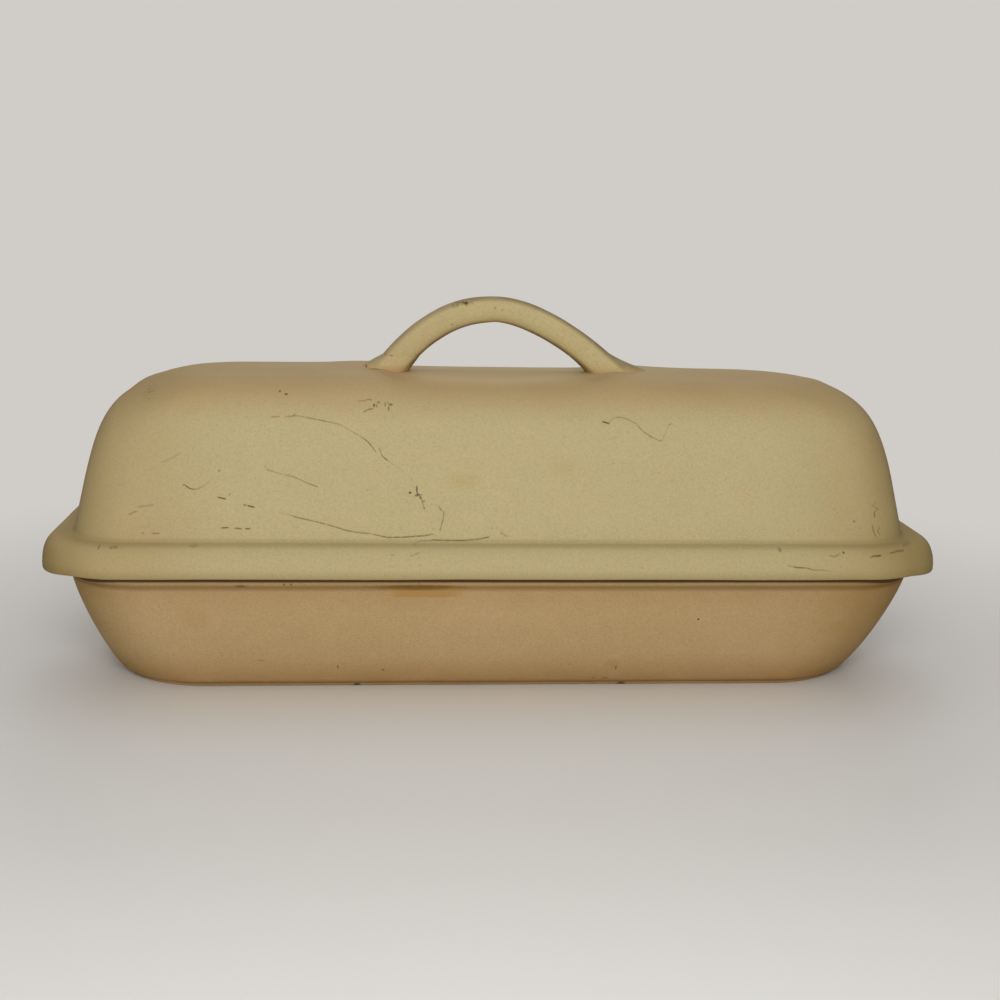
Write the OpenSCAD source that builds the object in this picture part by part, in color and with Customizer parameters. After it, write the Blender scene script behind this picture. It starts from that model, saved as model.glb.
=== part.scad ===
// A long clay bread baker: a trough dish and the domed cover that seats on its rim.
// Millimetres, Z up. The origin is the centre of the dish's foot, X runs along the length,
// and the front of the baker is -Y.

/* [Dish] */
// Length of the foot that the dish stands on
foot_length = 329; // [300:1:360]
// Width of the foot
foot_width = 92; // [84:1:110]
// How far each end flares out from the foot to the rim
end_flare = 17.5; // [12:0.5:26]
// How far the front and the back flare out from the foot to the rim
side_flare = 23.2; // [19:0.2:32]
// Height of the dish from its foot to its rim
dish_height = 56; // [48:1:66]
// Corner radius of the rim, seen from above
rim_corner = 34; // [26:1:42]
// Corner radius of the foot, seen from above
foot_corner = 41; // [30:1:46]
// Radius of the worn edge round the foot
foot_edge = 2; // [1:0.5:4]
// Thickness of the dish's wall, measured level
dish_wall = 8.5; // [7:0.5:10]
// Thickness of the dish's floor
dish_floor = 9; // [7:0.5:12]
// Radius of the cove between wall and floor inside
dish_cove = 14; // [8:1:18]
// Thickness of the rim where the cover's locating lip drops in
rim_wall = 7.5; // [6.5:0.5:8]
// Height of the narrow band under the rim
band_height = 5.4; // [4:0.1:7]
// How far the band stands out from the wall below it
band_step = 0.8; // [0.4:0.1:1.2]
// Radius of the rim's outer edge
rim_edge = 1.3; // [0.8:0.1:2]

/* [Cover] */
// How far the brim reaches past the rim of the dish
brim_reach = 8.5; // [6:0.5:11]
// Width of the brim from its edge to the foot of the dome
brim_width = 13.4; // [12:0.2:16]
// Height of the brim from its underside to the foot of the dome
brim_height = 12; // [10:0.5:15]
// Radius of the brim's lower edge
brim_edge = 1.2; // [0.8:0.2:3]
// Height of the whole cover above the rim, without the handle
cover_height = 75.5; // [65:0.5:90]
// Thickness of the cover's wall
cover_wall = 8.5; // [7.5:0.5:10]
// Corner radius of the dome at its foot, seen from above
dome_corner = 24; // [18:1:30]
// Corner radius of the dome at its shoulder, seen from above
shoulder_corner = 46; // [36:1:60]
// How far each end of the dome leans in
lean_ends = 12; // [8:0.5:16]
// How far the front and the back of the dome lean in
lean_sides = 17; // [13:0.5:19]
// Length of the rounded shoulder at each end
shoulder_length = 37; // [28:1:50]
// Width of the rounded shoulder at front and back
shoulder_width = 30; // [24:0.5:32]
// How far the cover's locating lip drops into the rim
lip_depth = 4.5; // [3:0.5:6]
// Clearance between the locating lip and the rim, at its side and under it
lip_clearance = 1.2; // [0.8:0.1:1.5]

/* [Handle] */
// Height of the strap's middle line over the crown
handle_rise = 27.9; // [22:0.1:40]
// Reach from the top of the arch to the middle of the left root
left_reach = 49.8; // [40:0.2:60]
// Reach from the top of the arch to the middle of the right root
right_reach = 50; // [40:0.2:60]
// Place of the top of the arch along the length, from the middle
arch_place = 3.2; // [-10:0.2:10]
// Thickness of the strap, across the arch
strap_thick = 11.1; // [9:0.1:14]
// Depth of the strap, front to back
strap_depth = 15; // [11:0.5:18]

/* [Handle slip] */
// How high the smeared clay climbs up each root
slip_height = 6; // [4:0.5:8]
// How far it spreads outwards at the left root
left_spread = 5; // [3:0.5:9]
// How far it spreads outwards at the right root
right_spread = 7.5; // [4:0.5:10]
// How far it spreads to the front and the back
side_spread = 2.6; // [1.5:0.1:4]
// How far it spreads under the arch
inner_spread = 1.2; // [0.6:0.1:2.5]

/* [Hidden] */
// powers that shape the curves, with no unit
dish_power = 1.21;
brim_power = 3;
shoulder_rise_power = 6;
shoulder_round_power = 2.7;
left_arch_power = 2.54;
right_arch_power = 1.56;
strap_power = 2.3;
slip_power = 2;

// steps along each curve
corner_steps = 9;
wall_steps = 9;
edge_steps = 3;
brim_steps = 6;
dome_steps = 13;
cove_steps = 4;
strap_sides = 20;
strap_steps = 9;
slip_steps = 3;

// least corner radius inside a hollow, and the hair by which a corner stays under its side
least_corner = 4;
hair = 0.02;

// the share of each leg, from the top of the arch, where the strap's sections start to turn level
turn_share = 0.5;
// how much slimmer the strap is at its roots
root_slim_share = 0.07;
// how the dome's rows close up towards the crown
row_share = 0.75;

clay = [0.72, 0.66, 0.47];
dish_clay = [0.70, 0.61, 0.42];
slip_clay = [0.66, 0.58, 0.40];

foot_half_x = foot_length / 2;
foot_half_y = foot_width / 2;
rim_half_x = foot_half_x + end_flare;
rim_half_y = foot_half_y + side_flare;
wall_top = dish_height - band_height;
rebate_depth = lip_depth + lip_clearance;
brim_half_x = rim_half_x + brim_reach;
brim_half_y = rim_half_y + brim_reach;
brim_corner = dome_corner + brim_width;
dome_half_x = brim_half_x - brim_width;
dome_half_y = brim_half_y - brim_width;
dome_foot = dish_height + brim_height;
crown = dish_height + cover_height;
lip_inset = rim_wall + lip_clearance;

// one level loop with rounded corners, anticlockwise from above
function level_loop(half_x, half_y, corner, z) =
  let (r = max(min(corner, half_x - hair, half_y - hair), hair))
  [for (k = [0 : 3], i = [0 : corner_steps])
    let (
      turn = 90 * (k + i / corner_steps),
      side_x = k == 0 || k == 3 ? 1 : -1,
      side_y = k < 2 ? 1 : -1
    )
    [side_x * (half_x - r) + r * cos(turn), side_y * (half_y - r) + r * sin(turn), z]
  ];

// one row of faces between loop i and the next, as level strips
function strip_faces(i, n) =
  [for (j = [0 : n - 1])
    [i * n + j, i * n + (j + 1) % n, (i + 1) * n + (j + 1) % n, (i + 1) * n + j]
  ];

// the same row cut into triangles, for loops that turn
function turned_faces(i, n) =
  [for (j = [0 : n - 1], half = [0, 1])
    let (
      a = i * n + j,
      b = i * n + (j + 1) % n,
      c = (i + 1) * n + (j + 1) % n,
      d = (i + 1) * n + j
    )
    half == 0 ? [a, b, c] : [a, c, d]
  ];

// a solid from stacked loops: it starts at a face that looks up and ends at one that looks down
module stack(loops) {
  n = len(loops[0]);
  rows = len(loops);
  points = [for (loop = loops, p = loop) p];
  first = [for (j = [n - 1 : -1 : 0]) j];
  last = [for (j = [0 : n - 1]) (rows - 1) * n + j];
  sides = [for (i = [0 : rows - 2], f = strip_faces(i, n)) f];
  polyhedron(points = points, faces = concat([first], sides, [last]), convexity = 6);
}

// share of the way from the foot to the top of the dish's wall, at height z
function wall_share(z) =
  let (fall = 1 - min(max(z / wall_top, 0), 1))
  pow(max(1 - pow(fall, dish_power), 0), 1 / dish_power);

// the dish's outer wall at height z, drawn in by an inset
function wall_loop(z, inset, level) =
  let (
    s = wall_share(z),
    half_x = foot_half_x + (end_flare - band_step) * s,
    half_y = foot_half_y + (side_flare - band_step) * s,
    corner = foot_corner + (rim_corner - foot_corner) * s
  )
  level_loop(half_x - inset, half_y - inset, max(corner - inset, least_corner), level);

function rim_loop(inset, z) =
  level_loop(rim_half_x - inset, rim_half_y - inset, max(rim_corner - inset, least_corner), z);

module base_pan() {
  ledge = dish_height - rebate_depth;
  cove_top = dish_floor + dish_cove;
  cove = [for (i = [0 : cove_steps])
    let (turn = 90 * i / cove_steps)
    wall_loop(
      cove_top,
      dish_wall + dish_cove * (1 - sin(turn)),
      dish_floor + dish_cove * (1 - cos(turn))
    )
  ];
  inner = [for (i = [1 : wall_steps])
    let (z = cove_top + (ledge - cove_top) * i / wall_steps)
    wall_loop(z, dish_wall, z)
  ];
  rebate = [
    rim_loop(rim_wall, ledge),
    rim_loop(rim_wall, dish_height)
  ];
  edge = [for (i = [0 : edge_steps])
    let (turn = 90 * i / edge_steps)
    rim_loop(rim_edge * (1 - sin(turn)), dish_height - rim_edge * (1 - cos(turn)))
  ];
  band = [
    rim_loop(0, wall_top + band_step),
    wall_loop(wall_top, 0, wall_top)
  ];
  outer = [for (i = [1 : wall_steps])
    let (z = wall_top + (foot_edge - wall_top) * i / wall_steps)
    wall_loop(z, 0, z)
  ];
  foot = [for (i = [1 : edge_steps])
    let (turn = 90 * i / edge_steps)
    wall_loop(foot_edge, foot_edge * (1 - cos(turn)), foot_edge * (1 - sin(turn)))
  ];
  color(dish_clay)
    stack(concat(cove, inner, rebate, edge, band, outer, foot));
}

// the dome at a share u of its height, drawn in by an inset, between two levels
function dome_loop(u, inset, low, high) =
  let (
    k = 1 - pow(max(1 - pow(min(u, 1), shoulder_rise_power), 0), 1 / shoulder_round_power),
    half_x = dome_half_x - inset - lean_ends * u - shoulder_length * k,
    half_y = dome_half_y - inset - lean_sides * u - shoulder_width * k,
    corner = dome_corner + (shoulder_corner - dome_corner) * k - inset
  )
  level_loop(half_x, half_y, max(corner, least_corner), low + (high - low) * u);

// shares of the dome's height, closing up towards the crown
function dome_rows() =
  [for (i = [0 : dome_steps])
    let (t = i / dome_steps)
    t * (1 - row_share) + row_share * (1 - pow(1 - t, 2))
  ];

module lid_shell() {
  rows = dome_rows();
  outer = [for (i = [dome_steps : -1 : 0]) dome_loop(rows[i], 0, dome_foot, crown)];
  brim = [for (i = [1 : brim_steps])
    let (
      turn = 90 * i / brim_steps,
      out = brim_width * pow(sin(turn), 2 / brim_power),
      fall = (brim_height - brim_edge) * (1 - pow(cos(turn), 2 / brim_power))
    )
    level_loop(dome_half_x + out, dome_half_y + out, dome_corner + out, dome_foot - fall)
  ];
  edge = [for (i = [1 : edge_steps])
    let (
      turn = 90 * i / edge_steps,
      inset = brim_edge * (1 - cos(turn)),
      z = dish_height + brim_edge * (1 - sin(turn))
    )
    level_loop(brim_half_x - inset, brim_half_y - inset, brim_corner - inset, z)
  ];
  lip = [
    rim_loop(lip_inset, dish_height),
    rim_loop(lip_inset, dish_height - lip_depth),
    dome_loop(0, cover_wall, dish_height - lip_depth, dish_height - lip_depth)
  ];
  inner = [for (i = [0 : dome_steps]) dome_loop(rows[i], cover_wall, dome_foot, crown - cover_wall)];
  color(clay)
    stack(concat(outer, brim, edge, lip, inner));
}

function level_share(s, low, high) =
  let (t = min(max((s - low) / (high - low), 0), 1))
  t * t * (3 - 2 * t);

function signed_power(v, p) = sign(v) * pow(abs(v), p);

// one section of the strap on a leg, at share s from the top of the arch, side -1 left or 1 right
function strap_section(s, side, reach, power) =
  let (
    slope = -side * handle_rise * power * pow(s, power - 1) / reach,
    run = 1 / sqrt(1 + slope * slope),
    along = [run, 0, slope * run],
    up = [-slope * run, 0, run],
    root_share = pow(1 - slip_height / handle_rise, 1 / power),
    level = s > turn_share ? level_share(s, turn_share, root_share) : 0,
    across = (level > 0 ? up - along * level * up[2] / along[2] : up) * (1 - root_slim_share * level),
    middle = [arch_place + side * reach * s, 0, crown + handle_rise * (1 - pow(s, power))]
  )
  [for (i = [0 : strap_sides - 1])
    let (turn = 360 * i / strap_sides)
    middle
      + across * strap_thick / 2 * signed_power(cos(turn), 2 / strap_power)
      + [0, strap_depth / 2 * signed_power(sin(turn), 2 / strap_power), 0]
  ];

// shares of a leg: level rows through the slip first, then on to the top of the arch
function leg_shares(power) =
  let (root_share = pow(1 - slip_height / handle_rise, 1 / power))
  concat(
    [for (i = [0 : slip_steps]) pow(1 - slip_height * i / slip_steps / handle_rise, 1 / power)],
    [for (i = [1 : strap_steps]) root_share * (1 - i / strap_steps)]
  );

module lid_handle() {
  left = leg_shares(left_arch_power);
  right = leg_shares(right_arch_power);
  rows_left = [for (s = left) strap_section(s, -1, left_reach, left_arch_power)];
  rows_right = [for (i = [len(right) - 2 : -1 : 0])
    strap_section(right[i], 1, right_reach, right_arch_power)
  ];
  loops = concat(rows_left, rows_right);
  n = strap_sides;
  rows = len(loops);
  points = [for (loop = loops, p = loop) p];
  first = [for (j = [n - 1 : -1 : 0]) j];
  last = [for (j = [0 : n - 1]) (rows - 1) * n + j];
  sides = [for (i = [0 : rows - 2], f = turned_faces(i, n)) f];
  color(clay)
    polyhedron(points = points, faces = concat([first], sides, [last]), convexity = 6);
}

// the smeared clay round one root: its inside is the strap's own rows, its outside a hollow flare
module slip_ring(side, reach, power, spread) {
  shares = leg_shares(power);
  n = strap_sides;
  inside = [for (i = [0 : slip_steps]) strap_section(shares[i], side, reach, power)];
  outside = [for (i = [slip_steps - 1 : -1 : 0])
    let (fade = pow(1 - i / slip_steps, slip_power))
    [for (j = [0 : n - 1])
      let (
        turn = 360 * j / n,
        c = cos(turn),
        wide = side_spread
          + (spread - side_spread) * pow(max(c, 0), 2)
          + (inner_spread - side_spread) * pow(max(-c, 0), 2)
      )
      inside[i][j] + [side * c, sin(turn), 0] * wide * fade
    ]
  ];
  around = concat(inside, outside);
  rows = len(around);
  loops = side < 0 ? around : [for (i = [rows - 1 : -1 : 0]) around[i]];
  points = [for (loop = loops, p = loop) p];
  closed = [for (i = [0 : rows - 1], f = turned_faces(i, n)) [for (k = f) k % (rows * n)]];
  faces = [for (f = closed) [f[0], f[2], f[1]]];
  color(slip_clay)
    polyhedron(points = points, faces = faces, convexity = 6);
}

module handle_slip_left() {
  slip_ring(-1, left_reach, left_arch_power, left_spread);
}

module handle_slip_right() {
  slip_ring(1, right_reach, right_arch_power, right_spread);
}

base_pan();
lid_shell();
lid_handle();
handle_slip_left();
handle_slip_right();
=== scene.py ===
# The looks of a long clay bread baker, built round its CAD frame: a trough dish, the domed
# cover that seats on its rim, and the strap handle with the clay smeared round its roots.
# Metres, Z up, the dish's foot on z = 0, the baker's length along X and its front towards -Y.
import math

import bpy
from mathutils import Matrix, Vector


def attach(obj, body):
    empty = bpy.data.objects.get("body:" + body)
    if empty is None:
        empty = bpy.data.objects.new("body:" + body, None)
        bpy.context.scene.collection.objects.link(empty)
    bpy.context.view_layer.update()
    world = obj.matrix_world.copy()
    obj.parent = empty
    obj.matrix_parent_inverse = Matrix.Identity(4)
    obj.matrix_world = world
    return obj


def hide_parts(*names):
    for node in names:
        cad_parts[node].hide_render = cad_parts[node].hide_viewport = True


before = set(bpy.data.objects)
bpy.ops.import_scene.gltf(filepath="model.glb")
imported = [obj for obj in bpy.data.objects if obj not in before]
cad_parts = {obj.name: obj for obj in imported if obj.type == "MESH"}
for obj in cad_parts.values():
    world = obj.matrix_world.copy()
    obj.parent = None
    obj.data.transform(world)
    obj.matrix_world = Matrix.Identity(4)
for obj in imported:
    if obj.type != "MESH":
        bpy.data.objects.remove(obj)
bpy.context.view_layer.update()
mm = 0.001



# The dish: a trough of unglazed stoneware, pressed in a mould and fired once. It stands on
# a narrow foot ring, its walls lean out to a plain band under the rim, and a rebate inside
# the rim takes the cover's lip. Both clay shells are courses of level loops, closed in one skin.


def add_node(tree, kind, inputs=None, **settings):
    """A new node in a tree. Each input, by name or by place, takes a value or what feeds it."""
    node = tree.nodes.new(kind)
    for name, value in settings.items():
        setattr(node, name, value)
    for label, value in (inputs or {}).items():
        source = value.socket if isinstance(value, Measure) else value
        if isinstance(source, bpy.types.NodeSocket):
            tree.links.new(source, node.inputs[label])
        else:
            node.inputs[label].default_value = source
    return node


class Measure:
    """One number in a node tree. It adds, multiplies and bends like any other number."""

    def __init__(self, tree, socket):
        self.tree = tree
        self.socket = socket

    def bend(self, operation, *others, clamp=False):
        """Any one step of the Math node, with this measure as its first number."""
        given = dict(enumerate((self, *others)))
        node = add_node(self.tree, "ShaderNodeMath", given, operation=operation, use_clamp=clamp)
        return Measure(self.tree, node.outputs[0])

    def __add__(self, other):
        return self.bend("ADD", other)

    def __sub__(self, other):
        return self.bend("SUBTRACT", other)

    def __mul__(self, other):
        return self.bend("MULTIPLY", other)

    def __truediv__(self, other):
        return self.bend("DIVIDE", other)

    def __pow__(self, other):
        return self.bend("POWER", other)

    def __rsub__(self, other):
        return (self * -1) + other

    def __abs__(self):
        return self.bend("ABSOLUTE")

    __radd__ = __add__
    __rmul__ = __mul__

    def at_least(self, other):
        return self.bend("MAXIMUM", other)

    def at_most(self, other):
        return self.bend("MINIMUM", other)

    def between(self, low, high):
        """The share of the way from low to high, held to 0 and 1."""
        return self.bend("MULTIPLY_ADD", 1 / (high - low), -low / (high - low), clamp=True)

    def eased(self, low, high):
        """The same share with a soft start and a soft end."""
        share = self.between(low, high)
        return share * share * (3 - 2 * share)

    def blend(self, start, end):
        """A value that goes from start to end as this share goes from 0 to 1."""
        return start + (end - start) * self


def axes_of(tree, where):
    """The x, y and z of a place."""
    split = add_node(tree, "ShaderNodeSeparateXYZ", {0: where})
    return [Measure(tree, split.outputs[axis]) for axis in "XYZ"]


# A quarter of each level loop has this many steps: half an end, a corner and half a side.
END_STEPS = 9
CORNER_STEPS = 22
SIDE_STEPS = 47
QUARTER_STEPS = END_STEPS + CORNER_STEPS + SIDE_STEPS
# Points of two courses that lie closer than this are one point of the skin.
SEAM = 0.02 * mm


def level_loop_tree():
    """The rule of both shells: a point on a level loop with rounded corners."""
    tree = bpy.data.node_groups.new("level_loop", "GeometryNodeTree")
    for label in ("Around", "Half Length", "Half Width", "Corner", "Height"):
        tree.interface.new_socket(label, in_out="INPUT", socket_type="NodeSocketFloat")
    tree.interface.new_socket("Place", in_out="OUTPUT", socket_type="NodeSocketVector")
    given = tree.nodes.new("NodeGroupInput").outputs
    around, half_length, half_width, corner, height = [Measure(tree, s) for s in given[:5]]
    radius = corner.at_most(half_length).at_most(half_width)
    quarter = (around * 4).bend("PINGPONG", 1)
    end = quarter.between(0, END_STEPS / QUARTER_STEPS)
    turn = quarter.between(END_STEPS / QUARTER_STEPS, 1 - SIDE_STEPS / QUARTER_STEPS)
    side = quarter.between(1 - SIDE_STEPS / QUARTER_STEPS, 1)
    angle = turn * (math.pi / 2)
    x = (half_length - radius) * (1 - side) + radius * angle.bend("COSINE")
    y = (half_width - radius) * end + radius * angle.bend("SINE")
    whole_turn = around * (2 * math.pi)
    x = x * whole_turn.bend("COSINE").bend("SIGN")
    y = y * whole_turn.bend("SINE").bend("SIGN")
    place = add_node(tree, "ShaderNodeCombineXYZ", {"X": x, "Y": y, "Z": height})
    add_node(tree, "NodeGroupOutput", {"Place": place.outputs[0]})
    return tree


level_loop = level_loop_tree()
MOVE = "GeometryNodeSetPosition"


class Form:
    """A node tree that forms one piece of clay out of courses, with a named input for each size."""

    def __init__(self, name, sizes):
        self.name = name
        self.sizes = sizes
        self.tree = bpy.data.node_groups.new(name + "_form", "GeometryNodeTree")
        self.tree.interface.new_socket("Clay", in_out="OUTPUT", socket_type="NodeSocketGeometry")
        for label in sizes:
            self.tree.interface.new_socket(label, in_out="INPUT", socket_type="NodeSocketFloat")
        given = self.tree.nodes.new("NodeGroupInput").outputs
        self.size = {label: Measure(self.tree, given[label]) for label in sizes}
        self.courses = []

    def where(self):
        """The place of each point of the clay."""
        return add_node(self.tree, "GeometryNodeInputPosition").outputs[0]

    def then(self, kind, clay, **given):
        """One more step that the clay goes through."""
        return add_node(self.tree, kind, {"Geometry": clay, **given}).outputs[0]

    def sheet(self, across, rows, place):
        """A sheet of across by rows steps, put in place by its two shares."""
        steps = {"Size X": 1, "Size Y": 1, "Vertices X": across + 1, "Vertices Y": rows + 1}
        grid = add_node(self.tree, "GeometryNodeMeshGrid", steps)
        share_x, share_y, _ = axes_of(self.tree, self.where())
        placed = place(share_x + 0.5, share_y + 0.5)
        self.courses.append(self.then(MOVE, grid.outputs["Mesh"], Position=placed))

    def course(self, rows, profile):
        """A course of level loops; profile gives half length, half width, corner and height."""

        def place(around, rise):
            loop = add_node(self.tree, "GeometryNodeGroup", node_tree=level_loop)
            for socket, value in zip(loop.inputs, (around, *profile(rise))):
                self.tree.links.new(value.socket, socket)
            return loop.outputs[0]

        self.sheet(4 * QUARTER_STEPS, rows, place)

    def waver(self, clay, depth, span, seed, rest_height=None):
        """Hand and mould leave the skin uneven: drawn in by up to depth, less near the foot."""
        where = self.where()
        fine = {"Scale": 1 / span, "Detail": 3, "Roughness": 0.45, "Vector": where, "W": seed}
        cloud = add_node(self.tree, "ShaderNodeTexNoise", fine, noise_dimensions="4D")
        draw = Measure(self.tree, cloud.outputs[0]).between(0.3, 0.7) * depth * -1
        if rest_height is not None:
            draw = draw * axes_of(self.tree, where)[2].between(0, rest_height)
        normal = add_node(self.tree, "GeometryNodeInputNormal").outputs[0]
        given = {0: normal, "Scale": draw}
        inward = add_node(self.tree, "ShaderNodeVectorMath", given, operation="SCALE")
        return self.then(MOVE, clay, Offset=inward.outputs[0])

    def line(self, x, points, reach, most):
        """A lift read off a line drawn along x, from -reach to reach: points of (x, lift) in mm."""
        share = x.between(-reach, reach)
        drawn = add_node(self.tree, "ShaderNodeFloatCurve", {"Value": share})
        curve = drawn.mapping.curves[0].points
        places = []
        for at, lift in points:
            places.append(((at * mm + reach) / (2 * reach), (lift * mm + most) / (2 * most)))
        curve[0].location = (0, places[0][1])
        curve[1].location = (1, places[-1][1])
        for place, value in places[1:-1]:
            curve.new(place, value)
        drawn.mapping.update()
        return Measure(self.tree, drawn.outputs[0]) * (2 * most) - most

    def settled(self, clay, shift):
        """Clay settles as it dries: shift gives how far each place of the skin has gone."""
        x, _, z = axes_of(self.tree, self.where())
        along, up = shift(x, z)
        gone = add_node(self.tree, "ShaderNodeCombineXYZ", {"X": along, "Z": up})
        return self.then(MOVE, clay, Offset=gone.outputs[0])

    def close(self, clay_material, depth, span, seed, rest_height=None, shift=None):
        """Joins the courses into one skin, wavers it, and ends the tree with its clay."""
        join = add_node(self.tree, "GeometryNodeJoinGeometry")
        for course in reversed(self.courses):
            self.tree.links.new(course, join.inputs[0])
        skin = self.then("GeometryNodeMergeByDistance", join.outputs[0], Distance=SEAM)
        if shift:
            skin = self.settled(skin, shift)
        skin = self.waver(skin, depth, span, seed, rest_height)
        skin = self.then("GeometryNodeSetShadeSmooth", skin)
        skin = self.then("GeometryNodeRealizeInstances", skin)
        skin = self.then("GeometryNodeSetMaterial", skin, Material=clay_material)
        add_node(self.tree, "NodeGroupOutput", {"Clay": skin})

    def fire(self):
        """Forms the piece once at its sizes and keeps the result as a plain mesh."""
        piece = bpy.data.objects.new(self.name, bpy.data.meshes.new(self.name))
        bpy.context.scene.collection.objects.link(piece)
        form = piece.modifiers.new("form", "NODES")
        form.node_group = self.tree
        for item in self.tree.interface.items_tree:
            if item.in_out == "INPUT":
                form[item.identifier] = float(self.sizes[item.name])
        shaped = piece.evaluated_get(bpy.context.evaluated_depsgraph_get())
        mesh = bpy.data.meshes.new_from_object(shaped)
        piece.modifiers.remove(form)
        clay_material = mesh.materials[-1]
        mesh.materials.clear()
        mesh.materials.append(clay_material)
        piece.data = mesh
        return piece


def seen(red, green, blue):
    """A colour as the eye reads it, 0 to 255, in the shader's linear numbers."""

    def linear(value):
        share = value / 255
        return share / 12.92 if share <= 0.04045 else ((share + 0.055) / 1.055) ** 2.4

    return (linear(red), linear(green), linear(blue), 1)


# Dry clay barely shines. The grains are measured in shares of the space between them.
DULL = 0.22
WIDEST_GRAIN = 0.16
GRAIN_EDGE = 0.05


class Clay:
    """A matt unglazed clay, laid down in its node tree one layer at a time."""

    def __init__(self, name, body):
        self.material = bpy.data.materials.new(name)
        self.material.use_nodes = True
        self.tree = self.material.node_tree
        self.skin = self.tree.nodes["Principled BSDF"]
        self.skin.inputs["Specular IOR Level"].default_value = DULL
        self.where = add_node(self.tree, "ShaderNodeTexCoord").outputs["Object"]
        self.x, self.y, self.z = axes_of(self.tree, self.where)
        body_colour = add_node(self.tree, "ShaderNodeRGB")
        body_colour.outputs[0].default_value = body
        self.colour = body_colour.outputs[0]
        self.heights = []

    def moved(self, span, seed, shares):
        """The clay's places in spans, moved so that each seed meets another part of a pattern."""
        move = {"Location": [seed * share for share in shares], "Scale": [1 / span] * 3}
        return add_node(self.tree, "ShaderNodeMapping", {"Vector": self.where, **move}).outputs[0]

    def cloud(self, span, seed, detail=2.0, roughness=0.5):
        """Soft uneven patches, span wide, as a share from 0 to 1."""
        place = self.moved(span, seed, (1, 1.7, 0.6))
        given = {"Vector": place, "Scale": 1, "Detail": detail, "Roughness": roughness}
        return Measure(self.tree, add_node(self.tree, "ShaderNodeTexNoise", given).outputs[0])

    def grains(self, span, seed, reach):
        """Single grains of grog, each a spot of its own: 1 in a grain and 0 between them."""
        place = self.moved(span, seed, (1, 0.4, 1.3))
        cells = add_node(self.tree, "ShaderNodeTexVoronoi", {"Vector": place, "Scale": 1})
        pick = add_node(self.tree, "ShaderNodeSeparateColor", {0: cells.outputs["Color"]})
        size = Measure(self.tree, pick.outputs[0]).between(1 - reach, 1) * WIDEST_GRAIN
        return (size - Measure(self.tree, cells.outputs["Distance"])).between(0, GRAIN_EDGE)

    def tint(self, share, colour):
        """Lays a colour over what is there, as thick as the share says."""
        given = {"Factor": share, "A": self.colour, "B": colour}
        layer = add_node(self.tree, "ShaderNodeMix", given, data_type="RGBA")
        self.colour = layer.outputs["Result"]

    def spot(self, x, z, wide, high):
        """A round or oval patch round x and z, in millimetres: 1 in its middle, 0 past its edge."""
        scale, move = (1 / (wide * mm), 0, 1 / (high * mm)), (-x / wide, 0, -z / high)
        given = {0: self.where, 1: scale, 2: move}
        scaled = add_node(self.tree, "ShaderNodeVectorMath", given, operation="MULTIPLY_ADD")
        given = {0: scaled.outputs[0]}
        length = add_node(self.tree, "ShaderNodeVectorMath", given, operation="LENGTH")
        return 1 - Measure(self.tree, length.outputs["Value"])

    def marks(self, colour, soft, where, spots):
        """Lays round marks over the clay, each by its x, z, reach in x, reach in z and strength."""
        for *place, strength in spots:
            self.tint(self.spot(*place).between(0, soft) * where * strength, colour)

    def strokes(self, points, wide, along_z=False):
        """Thin metal marks on the front, drawn through points of (x, z, darkness) in mm."""
        step = 1 if along_z else 0
        run = [p[step] for p in points]
        rise = [p[1 - step] for p in points]
        low, high = min(run) - 1, max(run) + 1
        base, top = min(rise) - 1, max(rise) + 1
        heights = [(value - base) / (top - base) for value in rise]
        table = add_node(self.tree, "ShaderNodeRGBCurve")
        for curve, values in ((0, heights), (1, [p[2] for p in points])):
            line = table.mapping.curves[curve].points
            line[0].location = (0, values[0] if curve == 0 else 0)
            line[1].location = (1, values[-1] if curve == 0 else 0)
            for place, value in zip(run, values):
                line.new((place - low) / (high - low), value)
            for point in line:
                point.handle_type = "VECTOR"
        table.mapping.update()
        running, rising = (self.z, self.x) if along_z else (self.x, self.z)
        share = running.between(low * mm, high * mm)
        spread = add_node(self.tree, "ShaderNodeCombineColor", {0: share, 1: share})
        self.tree.links.new(spread.outputs[0], table.inputs["Color"])
        read = add_node(self.tree, "ShaderNodeSeparateColor", {0: table.outputs[0]})
        line_height = Measure(self.tree, read.outputs[0]) * ((top - base) * mm) + base * mm
        off = abs(rising - line_height)
        edge = 1 - off.between(0.25 * wide * mm, wide * mm)
        return edge * Measure(self.tree, read.outputs[1])

    def relief(self, share, depth):
        """Adds to the height of the skin; depth is in metres."""
        self.heights.append(share * depth)

    def finish(self, roughness):
        """Joins the layers to the surface: colour, roughness and the fine relief."""
        self.tree.links.new(self.colour, self.skin.inputs["Base Color"])
        self.tree.links.new(roughness.socket, self.skin.inputs["Roughness"])
        height = self.heights[0]
        for more in self.heights[1:]:
            height = height + more
        given = {"Strength": 1, "Distance": 1, "Height": height}
        bump = add_node(self.tree, "ShaderNodeBump", given)
        self.tree.links.new(bump.outputs[0], self.skin.inputs["Normal"])
        return self.material


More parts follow.
